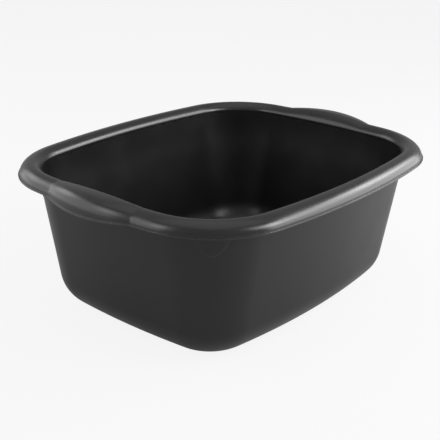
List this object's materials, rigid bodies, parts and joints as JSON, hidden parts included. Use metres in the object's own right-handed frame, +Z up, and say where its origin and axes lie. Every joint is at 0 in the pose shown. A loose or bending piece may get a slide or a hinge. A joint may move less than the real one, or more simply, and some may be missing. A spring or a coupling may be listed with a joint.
{
  "type": "washing up bowl",
  "caption": "Rounded rectangular washing up bowl with tapered walls, a rounded heel, a rolled-over rim and a domed lifting grip at each end.",
  "frame": {"origin": "middle of the bowl's footprint, on the surface that the foot ring stands on", "axes": "+X along the bowl's length towards one grip, +Y across its width, +Z up out of the open top"},
  "size_m": [0.3948, 0.315, 0.1518],
  "materials": {
    "bowl_plastic": "satin charcoal polypropylene, fine moulded grain",
    "rim_plastic": "satin charcoal polypropylene, rubbed a little smoother on the rim and grips"
  },
  "bodies": {
    "root": {"floor_panel": "bowl_plastic", "foot_ring": "bowl_plastic", "heel_front": "bowl_plastic", "heel_rear": "bowl_plastic", "wall_front": "bowl_plastic", "wall_rear": "bowl_plastic", "rim_front": "rim_plastic", "rim_rear": "rim_plastic", "grip_left": "rim_plastic", "grip_right": "rim_plastic", "corner_pads": "bowl_plastic"}
  },
  "joints": []
}
